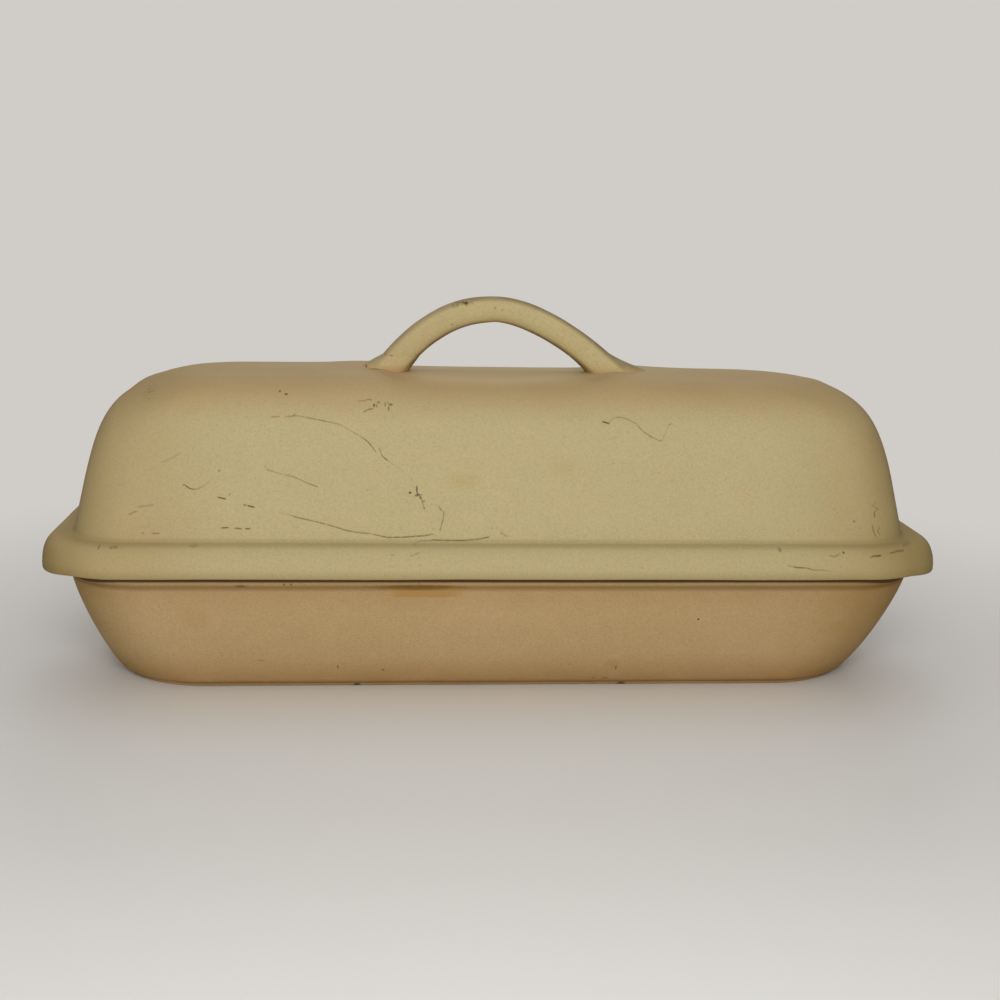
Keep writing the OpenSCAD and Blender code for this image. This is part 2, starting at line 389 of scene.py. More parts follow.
def raw_clay(clay, warm, cool, dark, light, seed):
    """What every part of the baker shows: mottled body, fine grog, pores and a dry skin."""
    clay.tint(clay.cloud(70 * mm, seed).between(0.34, 0.7) * 0.34, warm)
    clay.tint(clay.cloud(17 * mm, seed + 4, detail=3).between(0.4, 0.68) * 0.34, cool)
    clay.tint(clay.cloud(8 * mm, seed + 9, detail=3).between(0.5, 0.72) * 0.36, warm)
    grit = clay.cloud(0.9 * mm, seed + 13, detail=3, roughness=0.65)
    clay.tint(grit.between(0.5, 0.72) * 0.26, dark)
    clay.tint((1 - grit).between(0.52, 0.74) * 0.26, light)
    iron = clay.grains(3.4 * mm, seed + 21, 0.1)
    clay.tint(iron * 0.45, dark)
    clay.tint(clay.grains(1.3 * mm, seed + 33, 0.3) * 0.3, light)
    clay.relief(clay.cloud(0.7 * mm, seed + 41, detail=4, roughness=0.6), 0.055 * mm)
    clay.relief(clay.cloud(5 * mm, seed + 47), 0.09 * mm)
    clay.relief(iron, -0.05 * mm)
    return clay.cloud(3 * mm, seed + 55).between(0, 1) * 0.12 + 0.8


# Heights on the dish, and the leaning plane that parts its front face from its inside.
BAND_CREASE = 50.3 * mm
FOOT_GROOVE = 1.35 * mm
WALL_LEAN = 0.42
WALL_FACE = 44 * mm
DISH_GRAIN = (seen(196, 164, 122), seen(181, 156, 108), seen(134, 106, 66), seen(210, 184, 142))
DISH_OCHRE = seen(172, 134, 72)
DISH_SHADE = seen(158, 118, 66)
DISH_END_SHADE = seen(144, 108, 44)
DISH_STAIN_AND_SHADE = seen(110, 78, 25)
GRIME_AND_SHADOW = seen(78, 52, 26)
METAL_AND_SHADOW = seen(72, 56, 26)

# Its clay: painted shade low down, high on the wall and at both ends, a painted shadow under the
# rim's edge, painted shade in the crease and the groove, darker near the foot, then a run of fat,
# faint stains and small chips with painted shadow in them.
dish_clay = Clay("dish_clay_finish", seen(186, 158, 111))
dish_dry = raw_clay(dish_clay, *DISH_GRAIN, 2.0)
x, y, z = dish_clay.x, dish_clay.y, dish_clay.z
# Painted shade: darker near the foot, high on the wall under the band, and at both ends, in
# patches.
shade_patches = dish_clay.cloud(24 * mm, 57, detail=3).between(0.25, 0.75)
low_shade = 1 - z.eased(0, 20 * mm)
below_band = 1 - z.between(50.6 * mm, 51.4 * mm) * 0.8
high_shade = z.eased(36 * mm, 52 * mm) * below_band
left_end = (x * -1).eased(140 * mm, 180 * mm) * 0.6
right_end = x.eased(112 * mm, 178 * mm)
end_shade = left_end.at_least(right_end)
dish_clay.tint(low_shade * shade_patches.blend(0.45, 0.8), DISH_SHADE)
dish_clay.tint(high_shade * shade_patches.blend(0.18, 0.36), DISH_SHADE)
dish_clay.tint(end_shade * shade_patches.blend(0.5, 0.85), DISH_END_SHADE)
# Painted shadow of the brim: a dark line under the rim's outer edge, lower at the ends, faint on
# top.
end_drop = abs(x).eased(150 * mm, 174 * mm) * (2.1 * mm)
rim_shadow = (z + end_drop).between(52.6 * mm, 53.2 * mm)
rim_shadow = rim_shadow * (0.9 - z.between(54.3 * mm, 55.6 * mm) * 0.62)
# Painted shade in the crease under the band.
band_crease_shade = (1 - abs(z - BAND_CREASE).between(0.4 * mm, 1.8 * mm)) * 0.5
# Painted shade in the groove above the foot, then darker near the foot.
groove_shade = (1 - abs(z - FOOT_GROOVE).between(0.15 * mm, 0.6 * mm)) * 0.4
foot_darkening = (1 - z.between(0.2 * mm, 3.5 * mm)) * 0.3
outside = abs(y).between(WALL_FACE, WALL_FACE + 2 * mm)
outside = outside.at_least(abs(x).between(161 * mm, 164 * mm))
# The painted shade in the crease lies on the outside only.
dish_clay.tint(band_crease_shade * outside, DISH_STAIN_AND_SHADE)
# Painted shadow under the rim, painted shade in the groove and darker near the foot, outside only.
shadow_shade_and_foot = rim_shadow.at_least(groove_shade).at_least(foot_darkening)
dish_clay.tint(shadow_shade_and_foot * outside, GRIME_AND_SHADOW)
front_of_dish = (z * -WALL_LEAN - y).bend("GREATER_THAN", WALL_FACE)
stain = dish_clay.cloud(6 * mm, 61, detail=3).between(0.2, 0.6)
tongue = x.eased(-48 * mm, -41 * mm) * (1 - x.eased(-20 * mm, -14 * mm))
tongue_edge = z + stain * (0.9 * mm)
tongue = tongue * tongue_edge.between(46.7 * mm, 47.3 * mm)
tongue = tongue * (1 - z.between(50.4 * mm, 51.4 * mm))
dish_clay.tint(tongue * stain.blend(0.5, 0.8) * front_of_dish, DISH_OCHRE)
run_of_fat = dish_clay.spot(-33.5, 50.6, 23, 1.6).between(0, 0.5) * stain.blend(0.4, 0.75)
thread = dish_clay.spot(-33.0, 52.0, 0.35, 3.2).between(0, 0.5) * 0.4
dish_clay.tint(run_of_fat.at_least(thread) * front_of_dish, DISH_STAIN_AND_SHADE)
dish_clay.marks(DISH_OCHRE, 0.6, front_of_dish, [
    (50.8, 12.0, 4.6, 3.6, 0.4), (-125.1, 36.3, 9, 7, 0.22), (32.1, 11.8, 1, 0.8, 0.5),
])
# Metal marks, and the two chips in the foot darkened with painted shadow.
dish_clay.marks(METAL_AND_SHADOW, 0.5, front_of_dish, [
    (85.0, 35.3, 0.6, 0.6, 0.95), (-88.2, 52.0, 0.6, 0.5, 0.7), (-85.4, 52.0, 0.6, 0.5, 0.7),
    (-67.2, 11.2, 0.5, 1.4, 0.5), (-48.0, 9.3, 0.9, 0.5, 0.6), (-99.8, 14.7, 2.2, 0.4, 0.35),
    (52.5, 10.0, 0.4, 1.7, 0.6), (43.5, 4.2, 0.9, 0.35, 0.6), (48.4, 4.0, 1.7, 0.5, 0.5),
    (-105.8, 51.2, 3.0, 0.8, 0.5), (-59.3, 0.3, 1.9, 1.1, 0.95), (56.2, 0.3, 2.4, 1.1, 0.95),
])
dish_clay.finish(dish_dry)

# Its form: the sizes first, then the courses from the middle of the foot up the outside, over
# the rim and down the inside to the middle of the floor.
dish = Form(
    "trough_dish",
    {
        "Foot Length": 0.329,
        "Foot Width": 0.092,
        "End Flare": 0.0175,
        "Side Flare": 0.0232,
        "Height": 0.056,
        "Rim Corner": 0.034,
        "Foot Corner": 0.041,
        "Wall": 0.0085,
        "Floor": 0.009,
        "Cove": 0.014,
        "Rim Wall": 0.0075,
        "Rebate": 0.0057,
        "Band": 0.0054,
        "Band Step": 0.0008,
        "Crease": 0.001,
        "Rim Round": 0.0034,
        "Rim Drop": 0.0029,
        "Foot Ring": 0.001,
        "Foot Round": 0.0005,
        "Hollow": 0.0006,
        "Lean": 0.03,
        "Lean From": 0.022,
        "Waver": 0.0003,
        "Seed": 3.0,
    },
)
size = dish.size
DISH_BULGE = 1.21
LEAST_CORNER = 4 * mm
RIM_BEND = 0.6 * mm
SEAT_GAP = 0.05 * mm
wall_top = size["Height"] - size["Band"]


def wall_at(height, inset):
    """Half length, half width and corner of the dish's wall at a height, drawn in by inset."""
    fall = (1 - height / wall_top).at_least(0)
    share = (1 - fall**DISH_BULGE).at_least(0) ** (1 / DISH_BULGE)
    half_length = size["Foot Length"] / 2 + (size["End Flare"] - size["Band Step"]) * share
    half_width = size["Foot Width"] / 2 + (size["Side Flare"] - size["Band Step"]) * share
    corner = share.blend(size["Foot Corner"], size["Rim Corner"])
    return half_length - inset, half_width - inset, (corner - inset).at_least(LEAST_CORNER)


def rim_at(inset):
    """The same for the rim and its band."""
    half_length = size["Foot Length"] / 2 + size["End Flare"] - inset
    half_width = size["Foot Width"] / 2 + size["Side Flare"] - inset
    return half_length, half_width, (size["Rim Corner"] - inset).at_least(LEAST_CORNER)


def shrunk(loop, share):
    """A loop drawn in towards the middle line, down to a line at share 0."""
    half_length, half_width, corner = loop
    return half_length - half_width * (1 - share), half_width * share, corner * share


def between_loops(share, low, high):
    """Half length, half width and corner on the way from one loop to another."""
    return tuple(share.blend(a, b) for a, b in zip(low, high))


def quarter(share):
    """Sine and cosine of a quarter turn at a share of it."""
    angle = share * (math.pi / 2)
    return angle.bend("SINE"), angle.bend("COSINE")


flush = size["Waver"] * 0  # no inset at all
foot_loop = wall_at(flush, flush)
cove_top = size["Floor"] + size["Cove"]
ledge = size["Height"] - size["Rebate"]
belly = flush + 2.4 * mm
neck = wall_top - 1.5 * mm
band_foot = wall_top + 2.1 * mm
shoulder_foot = size["Height"] - size["Rim Drop"]
seat = size["Height"] - SEAT_GAP


def drawn_in(loop, inset):
    """A loop moved inwards by inset all round."""
    return loop[0] - inset, loop[1] - inset, loop[2] - inset


def bent(t, start, middle, end):
    """A soft bend from start to end that leans towards middle; each is a loop and its height."""
    first, second, third = (1 - t) * (1 - t), 2 * t * (1 - t), t * t
    return tuple(a * first + b * second + c * third for a, b, c in zip(start, middle, end))


def dish_underside(t):
    rise = (1 - t.eased(0.7, 0.86)) * size["Hollow"]
    return *shrunk(drawn_in(foot_loop, size["Foot Round"]), t), rise


def dish_foot_edge(t):
    sine, cosine = quarter(t)
    return *drawn_in(foot_loop, (1 - sine) * size["Foot Round"]), (1 - cosine) * size["Foot Round"]


def dish_foot_ring(t):
    return *foot_loop, t.blend(size["Foot Round"], size["Foot Ring"])


def dish_foot_groove(t):
    start = (*foot_loop, size["Foot Ring"])
    middle = (*drawn_in(foot_loop, 0.5 * mm), size["Foot Ring"] + 0.3 * mm)
    return bent(t, start, middle, (*wall_at(belly, flush), belly))


def dish_wall(t):
    height = t.blend(belly, neck)
    return *wall_at(height, flush), height


def dish_crease(t):
    start = (*wall_at(neck, flush), neck)
    middle = (*rim_at(size["Crease"]), wall_top - 0.6 * mm)
    return bent(t, start, middle, (*rim_at(size["Crease"]), wall_top))


def dish_band_foot(t):
    start = (*rim_at(size["Crease"]), wall_top)
    middle = (*rim_at(size["Crease"] * 0.1), wall_top + 0.6 * mm)
    return bent(t, start, middle, (*rim_at(flush), band_foot))


def dish_band(t):
    return *rim_at(flush), t.blend(band_foot, shoulder_foot)


def dish_rim_edge(t):
    sine, cosine = quarter(t)
    inset = (1 - cosine) * size["Rim Round"]
    return *rim_at(inset), shoulder_foot + (seat - shoulder_foot) * sine


def dish_rim_top(t):
    inset = t.blend(size["Rim Round"], size["Rim Wall"] - RIM_BEND)
    return *rim_at(inset), seat


def dish_rim_inside(t):
    sine, cosine = quarter(t)
    inset = size["Rim Wall"] - RIM_BEND + sine * RIM_BEND
    return *rim_at(inset), seat - (1 - cosine) * RIM_BEND


def dish_rebate(t):
    return *rim_at(size["Rim Wall"]), t.blend(seat - RIM_BEND, ledge)


def dish_ledge(t):
    return *between_loops(t, rim_at(size["Rim Wall"]), wall_at(ledge, size["Wall"])), ledge


def dish_inside(t):
    height = t.blend(ledge, cove_top)
    return *wall_at(height, size["Wall"]), height


def dish_cove(t):
    sine, cosine = quarter(t)
    inset = size["Wall"] + size["Cove"] * (1 - cosine)
    return *wall_at(cove_top, inset), size["Floor"] + size["Cove"] * (1 - sine)


def dish_floor(t):
    return *shrunk(wall_at(cove_top, size["Wall"] + size["Cove"]), 1 - t), size["Floor"]


for rows, profile in (
    (14, dish_underside), (3, dish_foot_edge), (2, dish_foot_ring), (5, dish_foot_groove),
    (30, dish_wall), (4, dish_crease), (5, dish_band_foot), (3, dish_band), (7, dish_rim_edge),
    (2, dish_rim_top), (2, dish_rim_inside), (3, dish_rebate), (2, dish_ledge),
    (18, dish_inside), (8, dish_cove), (9, dish_floor),
):
    dish.course(rows, profile)


def dish_shift(x, z):
    """The trough leans a little to the right the higher it gets."""
    return (z - size["Lean From"]) * size["Lean"], x * 0


dish.close(
    dish_clay.material, size["Waver"], span=45 * mm, seed=size["Seed"], rest_height=3 * mm,
    shift=dish_shift,
)
trough_dish = dish.fire()
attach(trough_dish, "dish")
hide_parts("base_pan")



# The cover: a deep domed lid of the same stoneware, a little yellower than the dish. A wide
# rounded brim overhangs the dish's rim, and a short lip under it drops into the rebate.
# Years of oven racks and metal spoons have left thin grey marks on its front.

# Heights on the cover, and the leaning plane that parts its front skin from its inside.
BRIM_CREASE = 68.9 * mm
BRIM_TOP = 69.5 * mm
COVER_LEAN = 0.4
COVER_FACE = 87 * mm
COVER_GRAIN = (seen(195, 168, 126), seen(184, 173, 125), seen(138, 118, 78), seen(212, 198, 156))
COVER_BROWN = seen(180, 144, 95)
COVER_END_BROWN_AND_SHADE = seen(172, 143, 93)
COVER_OLIVE = seen(140, 118, 66)
UNDER_STRAP_PAINTED_LIGHT = seen(206, 180, 132)
COVER_OCHRE = seen(180, 150, 92)


def baked_patches(clay):
    """Where the kiln has browned the cover's clay; the strap and the slips share the pattern."""
    return clay.cloud(40 * mm, 71, detail=3).between(0.3, 0.8)


# Its clay: browner on the crown with painted light under the strap, browner with painted shade at
# the ends, painted shade in the creases, then the marks of metal.
cover_clay = Clay("cover_clay_finish", seen(191, 176, 131))
cover_dry = raw_clay(cover_clay, *COVER_GRAIN, 7.0)
x, y, z = cover_clay.x, cover_clay.y, cover_clay.z
baked = baked_patches(cover_clay)
top_bake = z.eased(113 * mm, 130 * mm) * baked.blend(0.42, 0.7)
cover_clay.tint(top_bake, COVER_BROWN)
# Painted light: a paler patch on the crown under the strap, against the strap's shadow.
painted_light_under_strap = 1 - abs(x).eased(30 * mm, 50 * mm)
painted_light_under_strap = painted_light_under_strap * (1 - abs(y).eased(20 * mm, 38 * mm))
cover_clay.tint(painted_light_under_strap * z.eased(127 * mm, 130 * mm) * 0.5, UNDER_STRAP_PAINTED_LIGHT)
# Browner towards both ends, and darker there with painted shade.
end_bake_and_shade = abs(x).eased(105 * mm, 184 * mm) * baked.blend(0.5, 0.85)
cover_clay.tint(end_bake_and_shade, COVER_END_BROWN_AND_SHADE)
# An olive tone with painted shade at the brim's tips, most at the right end.
right_tip_olive_shade = x.eased(140 * mm, 188 * mm)
right_tip_olive_shade = right_tip_olive_shade * (1 - z.eased(62 * mm, 84 * mm) * 0.6)
left_tip_olive_shade = (x * -1).eased(160 * mm, 190 * mm)
left_tip_olive_shade = left_tip_olive_shade * (1 - z.eased(60 * mm, 72 * mm))
cover_clay.tint(right_tip_olive_shade.at_least(left_tip_olive_shade * 0.7) * baked.blend(0.45, 0.75), COVER_OLIVE)
# Painted shade in the crease over the brim, darker towards the brim's lower edge, and a light
# painted shade below the brim's top.
brim_crease_shade = (1 - abs(z - BRIM_CREASE).eased(0.3 * mm, 1.6 * mm)) * 0.3
low_brim_darker = (1 - z.eased(56.2 * mm, 62.5 * mm)) * 0.42
brim_shade = (1 - z.eased(64 * mm, 68 * mm)) * 0.12
cover_clay.tint(brim_crease_shade.at_least(low_brim_darker).at_least(brim_shade), COVER_OLIVE)
front_of_cover = y.bend("LESS_THAN", -10 * mm)
stains = [(-15.2, 93.2, 10, 4.5, 0.3), (26.4, 99.0, 8, 5.5, 0.25)]
cover_clay.marks(COVER_OCHRE, 0.8, front_of_cover, stains)

# The thin marks on the front, in millimetres, each named by its form or by its place.
MARK_WIDTH = 0.45
ARC_WIDTH = 0.42
ARC = [
    (-93.5, 117.8, 0.5), (-91.0, 117.9, 0.4), (-90.2, 117.9, 0), (-88.9, 117.8, 0),
    (-88.4, 117.8, 0.4), (-85.1, 118.3, 0.6), (-84.0, 118.4, 0.3), (-73.5, 116.6, 0.5),
    (-66.1, 115.2, 0.3), (-62.1, 113.0, 0.25), (-57.6, 110.7, 0.3), (-55.6, 109.3, 0.6),
    (-55.1, 109.1, 0.9), (-53.1, 107.0, 0.9), (-51.4, 104.8, 0.6), (-50.6, 104.4, 0),
    (-50.0, 106.0, 0), (-49.8, 105.9, 0.9), (-48.8, 103.6, 0.9), (-48.1, 102.4, 0.9),
    (-46.8, 101.6, 0.9), (-46.0, 101.0, 0.15), (-40.1, 97.0, 0.15), (-36.1, 93.6, 0.1),
    (-34.4, 91.2, 0),
]
HOOK = [
    (-128.7, 91.1, 1), (-126.9, 89.8, 0.8), (-124.9, 89.3, 0.5), (-123.2, 89.6, 0.35),
    (-121.0, 90.7, 0.25), (-118.4, 93.0, 0.1), (-116, 95, 0), (-97, 99, 0), (-96.2, 98.5, 0.5),
    (-95.5, 97.2, 0.4), (-90.4, 95.8, 0.2), (-86.4, 94.9, 0.35), (-84.5, 94.5, 0.35),
    (-78.5, 91.8, 0.35), (-75.4, 90.8, 0.7), (-74.4, 90.4, 0),
]
SQUIGGLE = [
    (43.7, 117.0, 1), (46.1, 116.4, 1), (46.6, 117.2, 0), (46.9, 117.7, 0.3), (48.6, 118.6, 0.4),
    (51.3, 118.8, 0.4), (54.0, 118.1, 0.35), (57.2, 116.6, 0.35), (60.2, 113.6, 0.7),
    (62.9, 111.7, 0.5), (64.5, 110.9, 0.7), (67.1, 109.7, 0.5), (68.2, 109.9, 0.4),
    (68.7, 110.9, 0.3), (69.6, 112.0, 0.3), (70.2, 113.2, 0.3), (71.2, 115.9, 0.6),
    (71.7, 116.3, 0.9),
]
LONG_LINE = [
    (-90.3, 80.3, 0.15), (-85.9, 79.5, 0.2), (-84.1, 78.7, 0.55), (-74.4, 76.5, 0.45),
    (-72.6, 76.1, 0.55), (-65.8, 74.2, 0.5), (-63.8, 73.5, 0.6), (-58.8, 72.6, 0.5),
    (-53.1, 72.1, 0.5), (-46.4, 70.6, 0.65), (-40.0, 70.7, 0.65), (-31.0, 71.3, 0.65),
    (-28.0, 71.9, 0.6), (-27.2, 72, 0), (0.1, 72.7, 0), (0.6, 72.5, 0.5), (2.9, 71.2, 0.6),
    (3.4, 71, 0),
]
LEFT_DASHES = [
    (-145.8, 72.1, 0), (-145.2, 72.0, 0.8), (-144.4, 71.8, 0), (-142.0, 72.0, 0),
    (-141.2, 72.0, 0.5), (-139.0, 71.9, 0.5), (-138.2, 71.9, 0), (-114.2, 74.2, 0),
    (-113.4, 74.2, 0.8), (-111.2, 74.3, 0.8), (-110.4, 74.2, 0), (-108.8, 74.1, 0),
    (-108.0, 74.1, 0.7), (-106.0, 73.9, 0.7), (-105.2, 73.9, 0), (-104.4, 73.9, 0),
    (-103.8, 73.9, 0.8), (-102.4, 73.9, 0.8), (-101.8, 73.9, 0),
]
UPPER_DASHES = [
    (-115.6, 86.4, 0), (-114.9, 86.2, 0.9), (-112.6, 85.7, 0.9), (-111.8, 85.6, 0),
    (-105.0, 83.3, 0), (-104.4, 83.3, 1), (-103.8, 83.2, 0.2), (-102.8, 82.9, 0.9),
    (-100.9, 82.5, 0.9), (-100.1, 82.4, 0),
]
CREASE_LINE = [
    (-35.0, 68.5, 0.2), (-32.5, 69.4, 0.35), (-29.0, 69.4, 0.3), (-27.0, 69.7, 0.6),
    (-22.1, 69.5, 0.6), (-14.5, 69.5, 0.65), (-8.3, 70.1, 0.5), (-4.7, 70.8, 0.7), (-4.0, 71, 0),
]
BRIM_LINE = [
    (118.7, 62.4, 0.3), (121.7, 61.7, 0.7), (126.1, 61.5, 0.6), (129.2, 60.6, 0.45),
    (133.0, 60.6, 0.35), (136.4, 60.1, 0.2),
]
BRIM_TOP_MARKS = [
    (136.8, 65.9, 0.4), (138.0, 65.6, 0.4), (139.9, 66.2, 0.5), (140.9, 66.7, 0.3),
    (141.4, 66.8, 0), (153.0, 65.3, 0), (153.8, 65.4, 0.8), (155.0, 65.8, 0.8), (157.9, 65.9, 0.8),
    (158.6, 66.0, 0), (162.2, 66.4, 0), (162.8, 66.5, 0.5), (164.9, 66.6, 0.5), (166.6, 66.9, 0.5),
    (169.7, 66.7, 0.5), (170.3, 67.3, 0), (171.0, 67.9, 0.25), (174.8, 67.9, 0.25),
]
SCRIBBLE_TOP = [(-58.6, 124.0, 0.3), (-56.0, 124.2, 0.35), (-54.5, 124.7, 0.6), (-53.4, 124.5, 0.4)]
SCRIBBLE_LOW = [(-55.9, 120.1, 0.5), (-54.9, 120.8, 0.6), (-53.0, 121.2, 0.7)]
FAINT_LINE = [
    (-137.7, 100.0, 0.2), (-134.1, 101.4, 0.25), (-130.9, 103.4, 0.2), (-130.0, 104.0, 0),
    (-37.4, 65.4, 0), (-36.6, 65.6, 0.3), (-33.4, 66.6, 0.3),
]
LEFT_FAINT_LINE = [
    (-150.4, 79.5, 0.4), (-149.3, 80.2, 0.5), (-147.6, 80.6, 0.4), (-147.3, 82.2, 0),
    (-146.9, 82.4, 0.35), (-141.2, 83.1, 0.3), (-140.9, 83.1, 0),
]
DROP = [
    (-24.5, 73.9, 0.6), (-23.3, 78.2, 0.4), (-23.1, 80.9, 0.5), (-24.3, 81.4, 0.6),
    (-25.1, 83.1, 0.4), (-28.1, 83.8, 0.2),
]
STAR_UPRIGHT = [
    (-31.4, 82.9, 0.5), (-32.1, 85.4, 0.5), (-33.1, 86.9, 0.6), (-33.8, 87.3, 0.7),
    (-34.2, 89.0, 0.8), (-34.2, 91.0, 0.5),
]
RIGHT_ZIGZAG = [
    (159.3, 71.7, 0.5), (158.6, 73.0, 0.6), (158.0, 75.1, 0.5), (158.0, 76.5, 0), (159.2, 78.6, 0),
    (159.2, 79.4, 0.6), (159.0, 81.0, 0.5), (160.9, 82.4, 0.7), (159.8, 82.9, 0.7),
    (157.8, 83.9, 0.5), (159.7, 84.4, 0.5),
]
RIGHT_HOOK = [(161.4, 71.9, 0.5), (160.4, 73.2, 0.5), (161.2, 74.4, 0.4)]
# The marks lie on the front skin alone, so none shows on the back or inside the cover.
outer_skin = (z * COVER_LEAN - y).bend("GREATER_THAN", COVER_FACE)
brim_skin = z.bend("LESS_THAN", BRIM_TOP)
outer_skin = outer_skin.at_least(brim_skin) * front_of_cover
breaks = cover_clay.cloud(1.6 * mm, 81).between(0.28, 0.5)
lines = cover_clay.strokes(ARC, ARC_WIDTH)
for line in (
    HOOK, SQUIGGLE, LONG_LINE, LEFT_DASHES, UPPER_DASHES, CREASE_LINE, BRIM_LINE, BRIM_TOP_MARKS,
    SCRIBBLE_TOP, SCRIBBLE_LOW, FAINT_LINE, LEFT_FAINT_LINE,
):
    lines = lines.at_least(cover_clay.strokes(line, MARK_WIDTH))
for line in (DROP, STAR_UPRIGHT, RIGHT_ZIGZAG, RIGHT_HOOK):
    lines = lines.at_least(cover_clay.strokes(line, MARK_WIDTH, along_z=True))
cover_clay.tint(lines * breaks.blend(0.4, 1) * outer_skin, METAL_AND_SHADOW)
dots = front_of_cover * 0
for *place, strength in (
    (-91.3, 127.2, 0.7, 0.5, 0.8), (-88.6, 126.2, 0.9, 0.5, 0.95), (-84.8, 118.9, 0.5, 0.4, 0.5),
    (-52.1, 122.5, 0.6, 0.9, 0.9), (-51.1, 122.5, 0.4, 0.9, 0.5), (-50.9, 122.0, 0.5, 0.5, 0.5),
    (-50.2, 123.6, 0.9, 0.5, 0.7), (-47.5, 122.8, 0.45, 1.0, 0.6), (-45.2, 122.8, 1.2, 0.6, 0.75),
    (-46.4, 123.5, 0.5, 0.5, 0.4), (-46.0, 121.3, 0.5, 1.2, 0.7), (-114.9, 96.7, 0.6, 0.6, 0.6),
    (-37.0, 88.4, 0.9, 0.6, 1.0), (-34.3, 89.9, 0.45, 1.4, 0.7), (-33.5, 87.6, 1.8, 0.5, 0.8),
    (-34.5, 87.3, 0.7, 0.7, 0.8), (-32.7, 86.5, 0.7, 0.8, 0.6), (-31.4, 85.0, 1.0, 0.45, 0.5),
    (-31.1, 82.2, 0.6, 0.6, 0.6), (-27.4, 74.0, 0.5, 0.5, 0.35), (-110.6, 87.4, 0.4, 0.7, 0.45),
    (149.8, 77.6, 0.6, 0.6, 0.7), (141.4, 82.8, 0.5, 0.5, 0.25), (152.4, 74.9, 0.5, 0.5, 0.25),
    (142.6, 66.9, 0.7, 0.5, 0.9), (116.0, 67.6, 1.0, 0.8, 0.5), (-44.0, 66.0, 1.8, 0.4, 0.2),
    (-161.6, 67.7, 0.45, 0.8, 0.6), (-156.6, 67.8, 1.0, 0.5, 0.4), (-155.0, 67.9, 1.4, 0.5, 0.4),
    (-124.2, 68.1, 2.8, 0.4, 0.25),
):
    dots = dots.at_least(cover_clay.spot(*place).between(0, 0.6) * strength)
cover_clay.tint(dots * outer_skin * 0.9, METAL_AND_SHADOW)
corner_rub = cover_clay.spot(189.0, 60.0, 2.6, 2.4).between(0, 0.6)
corner_rub = corner_rub * (1 - y.eased(-50 * mm, -36 * mm))
cover_clay.tint(corner_rub * 0.5, METAL_AND_SHADOW)
scuff = cover_clay.cloud(1.1 * mm, 91, detail=3, roughness=0.7).between(0.5, 0.6)
rub = cover_clay.spot(-145.8, 125.1, 4.6, 3.0).between(0, 0.6) * scuff * front_of_cover
cover_clay.tint(rub * 0.35, METAL_AND_SHADOW)
rack_line = abs(cover_clay.cloud(48 * mm, 95) - 0.5).between(0.0012, 0.003)
rack_part = cover_clay.cloud(13 * mm, 97).between(0.6, 0.64)
cover_clay.tint((1 - rack_line) * rack_part * (1 - front_of_cover) * breaks * 0.55, METAL_AND_SHADOW)
cover_clay.finish(cover_dry)

# Its form: the courses run from the middle of the inner crown down to the lip, out under the
# brim, round its edge and up the outside to the middle of the crown.
cover = Form(
    "domed_cover",
    {
        "Length": 0.381,
        "Width": 0.1554,
        "Seat": 0.056,
        "Brim Width": 0.0134,
        "Brim Height": 0.0126,
        "Brim Edge": 0.0012,
        "Cover Height": 0.0755,
        "Wall": 0.0085,
        "Dome Corner": 0.024,
        "Shoulder Corner": 0.046,
        "Lean Ends": 0.012,
        "Lean Sides": 0.017,
        "Shoulder Length": 0.037,
        "Shoulder Width": 0.03,
        "Crease": 0.0017,
        "Lip Depth": 0.0045,
        "Lip Inset": 0.0172,
        "Rim Corner": 0.0425,
        "Camber": 0.0009,
        "End Droop": 0.0017,
        "Left Bulge": 0.0003,
        "Right Bulge": 0.0004,
        "Left Brim Swell": 0.0007,
        "Right Brim Swell": 0.0013,
        "Waver": 0.0003,
        "Seed": 11.0,
    },
)
size = cover.size
RISE_POWER = 6
ROUND_POWER = 2.7
BRIM_POWER = 2.6
SHOULDER_START = 0.62
dome_foot = size["Seat"] + size["Brim Height"]
crown = size["Seat"] + size["Cover Height"]
nothing = size["Waver"] * 0  # no rise and no inset, as a measure


def dome_at(rise, closing, inset):
    """Half length, half width and corner of the dome; closing is how far its shoulder is in."""
    reach = size["Brim Width"] + inset
    half_length = size["Length"] / 2 - reach - size["Lean Ends"] * rise
    half_width = size["Width"] / 2 - reach - size["Lean Sides"] * rise
    corner = closing.blend(size["Dome Corner"], size["Shoulder Corner"]) - inset
    return (
        half_length - size["Shoulder Length"] * closing,
        half_width - size["Shoulder Width"] * closing,
        corner.at_least(LEAST_CORNER),
    )


def wall_of_dome(rise, inset):
    """The dome's loop at a share of its rise: nearly upright, then more and more drawn in."""
    return dome_at(rise, 1 - (1 - rise**RISE_POWER) ** (1 / ROUND_POWER), inset)


def shoulder(share, inset):
    """The shoulder by an angle, so that its rows lie evenly: its loop and its share of the rise."""
    start = math.asin(SHOULDER_START ** (RISE_POWER / 2))
    angle = share.blend(start, math.pi / 2)
    rise = angle.bend("SINE") ** (2 / RISE_POWER)
    closing = 1 - angle.bend("COSINE").at_least(0) ** (2 / ROUND_POWER)
    return dome_at(rise, closing, inset), rise


def brim_at(out):
    """Half length, half width and corner of the brim, out from the foot of the dome."""
    inset = size["Brim Width"] - out
    return size["Length"] / 2 - inset, size["Width"] / 2 - inset, size["Dome Corner"] + out


def lip_at():
    """The outside of the lip that drops into the dish's rebate."""
    inset = size["Lip Inset"]
    return size["Length"] / 2 - inset, size["Width"] / 2 - inset, size["Rim Corner"] - inset


inner_crown = crown - size["Wall"]
lip_bottom = size["Seat"] - size["Lip Depth"]
one = nothing + 1


def cover_inner_crown(t):
    return *shrunk(dome_at(one, one, size["Wall"]), t), inner_crown


def cover_inner_shoulder(t):
    loop, rise = shoulder(1 - t, size["Wall"])
    return *loop, rise.blend(dome_foot, inner_crown)


